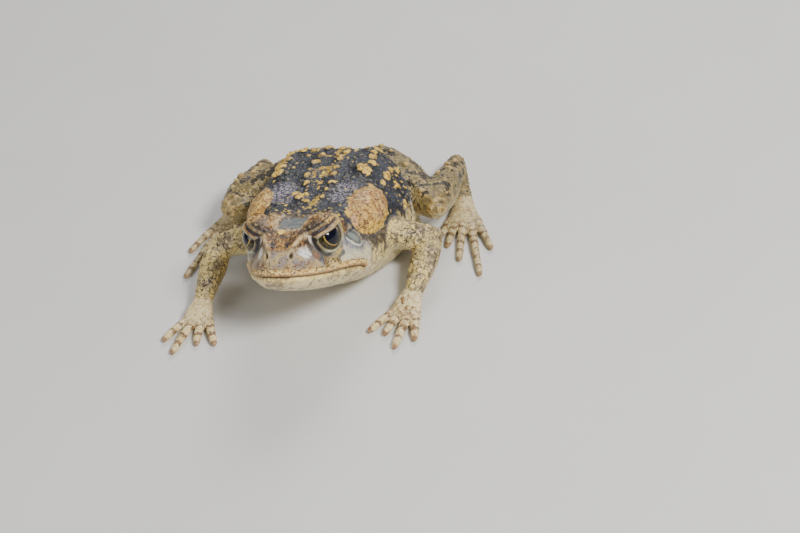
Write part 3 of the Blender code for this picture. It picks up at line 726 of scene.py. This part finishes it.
def regionChances(part, body, normals, outside):
    # where each kind of wart may lie
    up = normals[:, 2]
    trunk = np.clip(part["torso"] + part["head"] * rise(body[:, 0], 32, 42), 0, 1)
    limbs = sum(part[k] for k in limbKinds)
    onBack = trunk * rise(up, 0.35, 0.75) * (1 - part["parotoid"])
    onFlank = trunk * rise(up, -0.5, 0.1) * (1 - rise(up, 0.45, 0.8))
    onLid = (outside > 3.4) * (outside < 12) * rise(body[:, 2], 9.5, 13) * part["head"]
    skull = part["head"] * (body[:, 2] > 4) * (outside > 5)
    onGland = part["parotoid"] * rise(up, -0.3, 0.3)
    return {
        "back": onBack,
        "flank": onFlank * (body[:, 0] > 40),
        "limb": limbs * rise(up, -0.4, 0.4),
        "lid": onLid,
        "gland": onGland,
        "rough": np.clip(onBack + onFlank + limbs * 0.8 + onLid + skull * 0.5 + onGland * 0.4
                         + part["lower_jaw"] * 0.3, 0, 1) * (body[:, 0] > 3),
    }


def thinned(piece, clay, fields, body, onFace):
    # fewer triangles away from the face; each point then takes its nearest point's fields
    group = piece.vertex_groups.new(name="plain")
    levels = np.digitize(onFace, skin["thinLevels"])
    for level, weight in enumerate(skin["thinWeights"]):
        group.add(np.flatnonzero(levels == level).tolist(), weight, "REPLACE")
    faces = sum(len(face.vertices) - 2 for face in clay.mesh.polygons)
    thin = piece.modifiers.new("thin", "DECIMATE")
    thin.ratio = min(1.0, skin["triangles"] / faces)
    thin.vertex_group = "plain"
    final = applied(piece)
    piece.vertex_groups.clear()
    tree = treeOf(clay.places)
    nearest = [tree.find(vert.co / mm)[1] for vert in final.vertices]
    for name, values in fields.items():
        store(final, name, values[nearest])
    store(final, "body", body[nearest])
    final.shade_smooth()


def foldSkin(clay, part, body, normals):
    # loose folds on trunk and limbs, and creases down the sides of the neck
    loose = np.clip(part["torso"] + 0.6 * sum(part[k] for k in limbKinds)
                    + part["lower_jaw"] * 0.5, 0, 1)
    folds = sum(height * noiseAt(clay.places, scale, shift)
                for height, scale, shift in skin["folds"])
    middle, reach = skin["neck"]
    neck = hump(body[:, 0] - middle, reach) * rise(-normals[:, 2], -0.4, 0.3)
    creases = hump(noiseAt(body * (0.55, 0.16, 0.16), 1.0, 3), 0.12)
    clay.push(folds * loose - skin["creaseDepth"] * neck * creases)


def makeSkin():
    grown, tree, owners = joinFlesh()
    piece = newPiece("toad_skin", grown)
    remesh = piece.modifiers.new("remesh", "REMESH")
    remesh.mode = "VOXEL"
    remesh.voxel_size = skin["voxel"] * mm
    clay = Clay(applied(piece))
    print("skin remeshed:", len(clay.places), "points")

    index = {name: k for k, name in enumerate(fleshNodes)}
    ownerOf = [index[name] for name in owners]
    owner = np.array([ownerOf[tree.find_nearest(Vector(place * mm))[2]] for place in clay.places])
    kindIndex = np.array([kinds.index(kindOf(name)) for name in fleshNodes])[owner]
    share = clay.relax(np.eye(len(kinds))[kindIndex], 14)
    part = {kind: share[:, k] for k, kind in enumerate(kinds)}
    knob = smoothFlesh(clay, part, share)
    print("skin smoothed")

    face = part["head"] + part["lower_jaw"] + part["eardrum"]
    fields = sculptHead(clay, toBody(clay.places), face)
    normals = clay.normals()
    body = toBody(clay.places)
    under = rise(-normals[:, 2], -0.15, 0.6)
    outside = eyeAngles(mirrored(body))[1]
    foldSkin(clay, part, body, normals)
    wart, cap, pore = raiseWarts(clay, regionChances(part, body, normals, outside))
    fields.update(sculptLids(clay))
    print("skin sculpted")

    clay.places[:, 2] = np.maximum(clay.places[:, 2], 0)
    # the depth of each point below the softly smoothed skin, which the material darkens as painted
    # shade
    soft = clay.relax(clay.places, 8)
    fields.update({
        "wart": np.maximum(wart, knob), "cap": np.maximum(cap, knob), "pore": pore,
        "hollow": ((soft - clay.places) * clay.normals()).sum(axis=1), "under": under,
        "fromTip": clay.relax(tipDistances(clay, owner)[:, None], 2)[:, 0],
        "onHead": part["head"], "onJaw": part["lower_jaw"], "onTrunk": part["torso"],
        "onGland": part["parotoid"], "onArm": part["upper_arm"] + part["forearm"],
        "onHand": part["hand"] + part["finger"],
        "onLeg": part["thigh"] + part["shank"] + part["tarsus"],
        "onFoot": part["foot"] + part["toe"],
    })
    onFace = clay.relax(np.clip(part["head"] + part["lower_jaw"] * 0.5, 0, 1)[:, None], 10)[:, 0]
    thinned(piece, clay, fields, toBody(clay.places), onFace)
    print("skin done:", len(piece.data.polygons), "faces")
    return piece, list(fields)


# patches of colour on the face and neck, and a painted highlight on the snout: middle and half
# size, as u, v and w

marks = {
    "snoutBrown": ((3.5, 7.5, 0.0), (6.5, 8.0, 3.2)),
    "whiteSpot": ((7.2, 9.4, 5.6), (3.1, 4.0, 2.8)),
    "peachSpot": ((11.8, 13.2, 3.2), (1.9, 2.6, 1.5)),
    "yellowSpot": ((16.0, -2.6, 12.3), (2.3, 1.5, 5.0)),
    "belowDrum": ((47.0, 26.0, 5.5), (9.0, 9.0, 4.2)),
    "belowGland": ((57.0, 29.0, 3.5), (13.0, 8.0, 5.5)),
    "wrinkles": ((61.0, 14.0, 22.5), (12.0, 7.0, 9.0)),
}


class SkinPaint(Paint):
    # the toad's skin: its stored fields, shared textures and one colour per region

    def __init__(self, fields):
        super().__init__("toad_skin")
        self.at = {name: self.attribute(name) for name in fields}
        self.body = self.attribute("body", "Vector")
        self.u, self.v, self.w = (
            self.node("ShaderNodeSeparateXYZ", {}, {0: self.body}, k) for k in range(3))
        self.mirroredV = (self.v * self.v) ** 0.5
        self.paired = self.node("ShaderNodeCombineXYZ", {}, {
            0: self.u, 1: self.mirroredV, 2: self.w})
        # from the largest grain to the smallest, each with its scale, detail, roughness and
        # distortion
        place = self.node("ShaderNodeTexCoord", {}, {}, "Object")
        self.broad = self.noise(place, 95, 3, 0.55, 0.4)
        self.patch = self.noise(place, 210, 3, 0.6, 0.6)
        self.blotch = self.noise(place, 340, 3, 0.6, 1.0)
        self.fine = self.noise(place, 620, 3, 0.6)
        self.speck = self.noise(place, 1150, 2, 0.55)
        self.grain = self.noise(place, 2000, 2, 0.6)
        self.pebbles = self.step(self.cells(place, 900), 0.75, 0.1)
        bent = self.node("ShaderNodeVectorMath", {"operation": "MULTIPLY_ADD"}, {
            0: self.node("ShaderNodeTexNoise", {}, {"Vector": place, "Scale": 500.0}, "Color"),
            1: (0.0016, 0.0016, 0.0016), 2: place})
        self.net = self.cells(bent, 420, "DISTANCE_TO_EDGE")

    def near(self, mark, ragged=0.6, both=True):
        # 1 within a mark, 0 away from it, with an uneven edge
        centre, size = marks[mark]
        away = self.node("ShaderNodeVectorMath", {"operation": "SUBTRACT"}, {
            0: self.paired if both else self.body, 1: centre})
        scaled = self.node("ShaderNodeVectorMath", {"operation": "DIVIDE"}, {0: away, 1: size})
        far = self.node("ShaderNodeVectorMath", {"operation": "LENGTH"}, {0: scaled}, "Value")
        return self.step(far + (self.blotch - 0.5) * ragged * 2, 1.15, 0.75)

    def back(self):
        at = self.at
        ochre = self.mottled(self.fine, 0.38, 0.62, (160, 114, 22), (226, 186, 66))
        ragged = (self.patch - 0.5) * 1.5 + (self.fine - 0.5) * 0.9
        capped = self.step(at["cap"] + ragged, 0.2, 0.6) * self.step(at["cap"], 0.02, 0.3)
        middle = self.step(self.mirroredV, 5.5, 2.0) * self.step(self.u, 40.0, 50.0)
        streak = self.step(self.patch + (self.broad - 0.5) * 0.6, 0.53, 0.6) * middle
        wrinkled = self.near("wrinkles")
        wrinkles = self.mottled(self.net, 0.16, 0.04, (150, 142, 152), (44, 42, 50))
        return self.over(
            self.mottled(self.broad, 0.4, 0.62, (24, 28, 36), (42, 46, 56)),
            (self.step(self.patch, 0.42, 0.34) * 0.8, (40, 31, 27)),
            (self.step(self.blotch, 0.58, 0.68) * 0.45, (84, 90, 104)),
            (wrinkled * 0.75, wrinkles),
            (at["wart"] * self.step(self.broad, 0.4, 0.6) * 0.35, (96, 78, 56)),
            (streak * 0.85, ochre),
            (capped, ochre),
        )

    def cream(self):
        return self.mottled(self.fine, 0.35, 0.7, (232, 208, 140), (206, 174, 100))

    def belly(self):
        return self.over((222, 206, 160), (self.step(self.patch, 0.55, 0.7) * 0.7, (134, 122, 104)))

    def trunk(self):
        marble = self.step(self.patch + (self.broad - 0.5) * 0.6, 0.47, 0.57)
        folds = self.node("ShaderNodeMapping", {}, {
            "Vector": self.body, "Scale": (0.34, 0.1, 0.06)})
        stripes = self.noise(folds, 1.0, 2, 0.5, 0.3)
        flank = self.over(
            self.cream(),
            (self.step(stripes, 0.56, 0.66) * 0.55, (236, 228, 200)),
            (marble * 0.9, (78, 70, 64)),
            (self.step(self.speck + (self.patch - 0.5) * 0.4, 0.57, 0.65) * 0.85, (46, 38, 32)),
            (self.near("belowGland") * 0.9,
             self.mottled(self.fine, 0.45, 0.6, (38, 30, 26), (104, 84, 66))),
        )
        high = self.step(self.w + (self.patch - 0.5) * 9, 0.0, 7.0)
        return self.blend(self.at["under"], self.blend(high, flank, self.back()), self.belly())

    def crown(self):
        at = self.at
        streaks = self.node("ShaderNodeMapping", {}, {
            "Vector": self.paired, "Scale": (0.22, 0.75, 0.45), "Rotation": (0, 0, 0.5)})
        streak = self.noise(streaks, 1.0, 4, 0.65, 0.9)
        teal = self.mottled(self.blotch, 0.45, 0.6, (92, 104, 108), (126, 132, 130))
        off = self.mirroredV + (self.patch - 0.5) * 5.0 - (self.u - 26.0) * 0.09
        alongHead = self.u + (self.blotch - 0.5) * 4.0
        valley = (self.step(off, 6.6, 4.6) * self.step(alongHead, 17.5, 20.5)
                  * self.step(alongHead, 38.0, 31.0))
        border = self.most(self.band(off, 6.8, 0.9) * self.step(alongHead, 15.0, 18.0),
                           self.band(alongHead, 17.6, 1.3) * self.step(off, 8.0, 7.0))
        return self.over(
            self.mottled(streak, 0.42, 0.54, (46, 32, 26), (164, 114, 46)),
            (self.step(streak, 0.58, 0.66) * 0.85, (216, 182, 112)),
            (self.step(self.patch, 0.56, 0.64) * 0.45, (122, 110, 112)),
            (self.step(self.speck + (self.broad - 0.5) * 0.3, 0.52, 0.58) * 0.9, (26, 17, 15)),
            (at["wart"] * 0.45, (206, 172, 104)),
            (valley * 0.85, teal),
            (border * self.step(self.blotch, 0.34, 0.54) * 0.7, (214, 194, 158)),
            (self.near("yellowSpot", 0.3, both=False), (240, 206, 92)),
        )

    def cheek(self):
        snoutSide = self.over(
            self.mottled(self.patch, 0.42, 0.58, (176, 152, 104), (136, 124, 116)),
            (self.step(self.blotch, 0.54, 0.62) * 0.8, (120, 76, 32)),
            (self.step(self.fine, 0.6, 0.68) * 0.7, (226, 200, 140)),
        )
        grey = self.mottled(self.broad, 0.42, 0.6, (116, 116, 124), (170, 164, 154))
        dark = self.mottled(self.fine, 0.45, 0.6, (36, 28, 25), (104, 82, 62))
        return self.over(
            self.blend(self.step(self.u + (self.patch - 0.5) * 10, 11.0, 17.0), snoutSide, grey),
            (self.step(self.w + (self.patch - 0.5) * 6, 1.5, -2.0) * self.step(self.u, 18.0, 24.0)
             * 0.75, (222, 208, 166)),
            (self.step(self.blotch, 0.55, 0.66) * 0.6, (204, 184, 138)),
            (self.near("snoutBrown") * self.step(self.blotch, 0.44, 0.54) * 0.9, (112, 68, 28)),
            # painted highlight: a near-white patch on the snout between nostril and eye
            (self.near("whiteSpot", 0.9) * self.step(self.fine, 0.22, 0.4) * 0.92, (232, 226, 218)),
            (self.near("peachSpot", 0.9) * 0.8, (210, 150, 108)),
            (self.near("belowDrum") * 0.85, dark),
            (self.step(self.speck, 0.6, 0.66) * 0.85, (38, 28, 26)),
        )

    def lids(self, face):
        at = self.at
        out, upper = at["fromLid"], at["browSide"]
        lower = self.step(upper, 0.62, 0.3)
        granular = self.over(
            self.mottled(self.patch, 0.4, 0.56, (136, 96, 54), (208, 160, 82)),
            (self.step(self.speck, 0.48, 0.56), (44, 30, 28)),
            (at["cap"], (228, 184, 96)),
            (self.band(out, 3.6, 0.9) * self.step(self.blotch, 0.4, 0.55) * 0.6, (216, 166, 56)),
            (self.step(at["lidBack"], -0.1, -0.6) * 0.85, (34, 26, 28)),
            (self.band(out, 2.3, 0.65) * 0.9, (46, 32, 40)),
            (self.band(out + (self.fine - 0.5) * 0.6, 4.7, 0.45) * 0.8, (50, 34, 30)),
            (self.band(out + (self.fine - 0.5) * 0.4, 1.6, 0.22) * 0.7, (70, 48, 44)),
            (self.band(out, 1.1, 0.7) * self.step(self.blotch, 0.36, 0.56) * 0.7, (186, 142, 72)),
            # painted highlight: a broken pale lilac line along the upper lid's edge
            (self.band(out, 0.75, 0.3) * self.step(self.fine, 0.3, 0.5) * 0.6, (176, 156, 146)),
        )
        front = self.step(at["lidBack"], -0.35, -0.8)
        return self.over(
            face,
            (self.step(out, 8.6, 6.6) * upper, granular),
            (self.step(out, 4.4, 3.6) * lower * 0.8, (122, 104, 84)),
            (self.band(out, 3.1, 0.75) * lower * self.step(self.fine, 0.3, 0.5) * 0.85,
             (188, 164, 84)),
            (self.step(out, 2.5, 2.1) * lower, (44, 42, 38)),
            (self.band(out, 1.05, 1.05) * lower,
             self.mottled(self.fine, 0.4, 0.6, (198, 208, 178), (150, 162, 138))),
            (front * lower * self.step(out, 2.3, 1.9), (30, 22, 22)),
            (self.band(out, 2.9, 0.8) * front * lower * 0.8, (226, 214, 204)),
            (self.step(out, 0.45, 0.0), (22, 19, 16)),
        )

    def face(self):
        at = self.at
        lip = self.over(
            self.mottled(self.fine, 0.36, 0.62, (244, 218, 146), (206, 156, 76)),
            (self.step(self.speck + (self.patch - 0.5) * 0.4, 0.53, 0.6), (46, 30, 22)),
        )
        brownEdge = (self.step(at["aboveMouth"] + (self.fine - 0.5) * 2.2, 1.9, 0.9)
                     * self.step(at["aboveMouth"], -0.6, 0.0))
        behind = self.step(self.u, 33.0, 41.0) * self.step(self.w, 4.0, 9.0)
        drumSkin = self.over(
            self.blend(self.step(at["drum"], 0.2, 0.9), (124, 130, 122), (86, 92, 86)),
            (self.step(self.blotch, 0.5, 0.64) * 0.5, (146, 134, 112)),
            (self.step(self.speck, 0.6, 0.68) * 0.6, (52, 46, 42)))
        colour = self.over(
            self.blend(self.step(self.w + (self.patch - 0.5) * 3, 6.0, 9.0), self.cheek(),
                       self.crown()),
            (behind, self.back()),
            (at["crest"] * self.step(self.blotch, 0.36, 0.56) * 0.75, (212, 178, 128)),
        )
        colour = self.lids(colour)
        return self.over(
            colour,
            (self.step(at["lip"], 0.15, 0.5), lip),
            (brownEdge * at["onHead"] * self.step(self.u, 42.0, 39.5), (122, 58, 18)),
            (self.step(at["mouth"], 0.35, 0.8), (16, 10, 9)),
            (at["nostril"], (10, 7, 8)),
            (self.step(at["drum"], 1.02, 0.92), drumSkin),
            # painted highlight: a near-white curve on the eardrum's raised rim, on its front side
            # only
            (self.band(at["drum"], 1.12, 0.16) * self.step(self.u, 38.5, 36.0) * 0.65,
             (222, 216, 196)),
        )

    def jaw(self):
        marble = self.step(self.blotch + (self.broad - 0.5) * 0.5, 0.52, 0.6)
        return self.over(self.blend(self.at["under"], self.cream(), self.belly()),
                         (marble * 0.7, (116, 90, 60)),
                         (self.step(self.speck, 0.64, 0.72) * 0.6, (50, 40, 34)))

    def gland(self):
        at = self.at
        outer = self.step(self.w + (self.patch - 0.5) * 5, 12.0, 8.0)
        return self.over(
            self.mottled(self.patch, 0.4, 0.58, (218, 176, 92), (182, 132, 64)),
            (self.step(self.broad, 0.52, 0.6) * 0.45, (206, 162, 130)),
            (at["cap"] * 0.6, (234, 198, 116)),
            (outer * 0.7, (230, 186, 66)),
            (self.step(self.blotch, 0.53, 0.6) * 0.75, (100, 64, 36)),
            (self.step(self.net, 0.09, 0.02) * 0.45, (60, 38, 24)),
            (self.step(self.speck, 0.58, 0.65) * 0.8, (40, 26, 20)),
            (at["pore"], (12, 9, 8)),
        )

    def arm(self):
        return self.over(
            self.mottled(self.broad, 0.45, 0.62, (216, 190, 118), (160, 142, 108)),
            (self.step(self.net, 0.12, 0.03) * self.step(self.fine, 0.42, 0.56) * 0.8,
             (60, 46, 34)),
            (self.step(self.blotch + (self.broad - 0.5) * 0.6, 0.54, 0.62) * 0.75, (92, 76, 56)),
            (self.step(self.speck + (self.patch - 0.5) * 0.5, 0.56, 0.64), (50, 38, 28)),
            (self.at["cap"] * 0.8, (236, 212, 146)),
            (self.at["under"] * 0.8, (222, 206, 160)),
        )

    def leg(self):
        blotches = self.patch + (self.broad - 0.5) * 0.8
        return self.over(
            self.mottled(self.fine, 0.4, 0.65, (124, 106, 60), (88, 78, 50)),
            (self.band(blotches, 0.5, 0.05) * 0.6, (176, 154, 100)),
            (self.step(blotches, 0.52, 0.57) * 0.95, (40, 33, 26)),
            (self.at["cap"] * 0.9, (190, 152, 80)),
            (self.step(self.speck, 0.6, 0.68) * 0.6, (36, 30, 24)),
            (self.at["under"] * 0.8, (212, 198, 156)),
        )

    def hand(self):
        bands = self.node("ShaderNodeMath", {"operation": "SINE"}, {
            0: self.at["fromTip"] * 1.25 + (self.broad - 0.5) * 9.0})
        upperSide = self.step(self.at["under"], 0.8, 0.2)
        return self.over(
            self.mottled(self.fine, 0.35, 0.7, (230, 212, 164), (200, 172, 112)),
            (self.step(bands + (self.fine - 0.5) * 3.0, 0.3, 0.8) * upperSide * 0.9, (104, 68, 38)),
            (self.step(self.blotch, 0.55, 0.64) * upperSide * 0.55, (146, 104, 62)),
            (self.step(self.speck, 0.6, 0.68) * upperSide * 0.7, (70, 46, 32)),
            (self.step(self.at["fromTip"], 3.2, 0.6) * 0.85, (126, 70, 38)),
        )

    def paint(self):
        at = self.at
        hand, leg = self.hand(), self.leg()
        colour = self.blend(at["onTrunk"], self.face(), self.trunk())
        for share, look in (("onJaw", self.jaw()), ("onGland", self.gland()),
                            ("onArm", self.arm()), ("onHand", hand), ("onLeg", leg),
                            ("onFoot", self.blend(0.35, hand, leg))):
            share = self.step(at[share] + (self.fine - 0.5) * 0.5, 0.3, 0.7)
            colour = self.blend(share, colour, look)
        # painted shade: skin lying in a hollow is darkened, and skin standing out is made a little
        # paler
        colour = self.over(colour, (self.step(at["hollow"], 0.02, 0.2) * 0.65, (22, 17, 16)),
                           (self.step(at["hollow"], -0.03, -0.25) * 0.2, (236, 212, 150)))
        smooth = self.most(self.step(at["drum"], 1.2, 1.0) * 0.3,
                           self.step(at["fromLid"], 2.4, 1.6))
        rough = 1 - smooth * 0.8
        height = (self.pebbles * 0.7 + self.fine * 0.6 + self.grain * 0.25) * rough
        roughness = 0.50 + (self.fine - 0.5) * 0.35 + at["under"] * 0.1 - smooth * 0.16
        return self.finish(colour, roughness, height, 0.00034, 0.8, Specular_IOR_Level=0.5,
                           Coat_Weight=0.06, Coat_Roughness=0.3)


def addToBody(piece, slot, *nodes):
    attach(piece, "root")
    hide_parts(*nodes)


toadSkin, fieldNames = makeSkin()
toadSkin.data.materials.clear()
toadSkin.data.materials.append(SkinPaint(fieldNames).paint())
addToBody(toadSkin, "back_skin", *fleshNodes)


def makeEye(sideName, side):
    # a ball with a slightly raised cornea, its poles along the gaze
    gaze = Vector(gazeOf(side) @ headAxes)
    along = Vector(headAxes[2]).cross(gaze).normalized()
    up = gaze.cross(along)
    turn = Matrix((along * side, up, gaze)).transposed().to_4x4()
    bm = bmesh.new()
    bmesh.ops.create_uvsphere(bm, u_segments=72, v_segments=48, radius=1.0)
    bm.verts.index_update()
    onBall = [vert.co.copy() for vert in bm.verts]
    for vert in bm.verts:
        vert.co *= (eye["radius"] + eye["cornea"] * max(vert.co.z, 0) ** 6) * mm
    bm.transform(Matrix.Translation(boxMiddle("eye_" + sideName)) @ turn)
    bmesh.ops.recalc_face_normals(bm, faces=bm.faces)
    piece = newPiece("eyeball_" + sideName, bm)
    store(piece.data, "onEye", onBall)
    piece.data.shade_smooth()
    return piece


def paintEye():
    p = Paint("toad_eye")
    spot = p.attribute("onEye", "Vector")
    turned = p.node("ShaderNodeMapping", {}, {
        "Vector": spot, "Rotation": (0, 0, math.radians(eye["pupilTilt"]))})
    x, y, z = (p.node("ShaderNodeSeparateXYZ", {}, {0: turned}, k) for k in range(3))
    far = ((x / eye["pupilLong"]) ** 2 + (y / eye["pupilHigh"]) ** 2) ** 0.5
    fleck = p.noise(spot, 22, 4, 0.7, 0.5)
    strand = p.noise(p.node("ShaderNodeMapping", {}, {"Vector": spot, "Scale": (9, 26, 9)}),
                     1.0, 3, 0.6, 1.5)
    iris = p.over(
        p.blend(p.step(fleck, 0.54, 0.66), (12, 16, 12), (170, 132, 46)),
        (p.step(strand, 0.5, 0.7) * 0.5, (52, 68, 46)),
        (p.step(far, 1.3, 1.7), (10, 12, 12)),
    )
    outsidePupil = p.step(far, 0.96, 0.99)
    rim = outsidePupil * p.step(far, 1.08, 1.04) * p.step(fleck, 0.3, 0.45)
    colour = p.over(
        p.blend(outsidePupil, (3, 4, 22), iris),
        (rim * 0.8, (188, 156, 70)),
        (p.step(z, 0.45, 0.3), (24, 22, 20)),
    )
    return p.finish(colour, 0.12, fleck, 0.00002, 0.15, Coat_Weight=0.4, Coat_Roughness=0.02,
                    Specular_IOR_Level=0.15)


eyePaint = paintEye()
for sideName, side in sides.items():
    eyeball = makeEye(sideName, side)
    eyeball.data.materials.append(eyePaint)
    addToBody(eyeball, "eye", "eye_" + sideName)
print("eyes done")


studio = {
    "floor": 3.0,
    "lights": (
        ("key", (0.75, -0.55, 0.95), 0.32, 22.0),
        ("fill", (-0.9, -0.7, 0.5), 0.8, 5.0),
        ("back", (0.1, 0.9, 0.8), 0.6, 8.0),
    ),
    "aim": (0, -0.03, 0.03),
    "sky": 0.30,
}


def addStudio():
    bm = bmesh.new()
    bmesh.ops.create_grid(bm, x_segments=8, y_segments=8, size=studio["floor"])
    floor = newPiece("floor", bm)
    p = Paint("floor")
    mottle = p.noise(p.node("ShaderNodeTexCoord", {}, {}, "Object"), 14, 3)
    colour = p.blend(mottle, (206, 204, 200), (214, 212, 208))
    floor.data.materials.append(p.finish(colour, 0.75, mottle, 0.0002, 0.1))
    for name, place, size, power in studio["lights"]:
        data = bpy.data.lights.new(name, "AREA")
        data.shape, data.size, data.energy = "DISK", size, power
        light = bpy.data.objects.new(name, data)
        light.location = place
        away = Vector(place) - Vector(studio["aim"])
        light.rotation_euler = away.to_track_quat("Z", "Y").to_euler()
        bpy.context.scene.collection.objects.link(light)
    world = bpy.data.worlds.new("studio")
    world.use_nodes = True
    ground = world.node_tree.nodes["Background"]
    ground.inputs["Color"].default_value = tint(226, 229, 234)
    ground.inputs["Strength"].default_value = studio["sky"]
    bpy.context.scene.world = world


addStudio()
print("studio done")
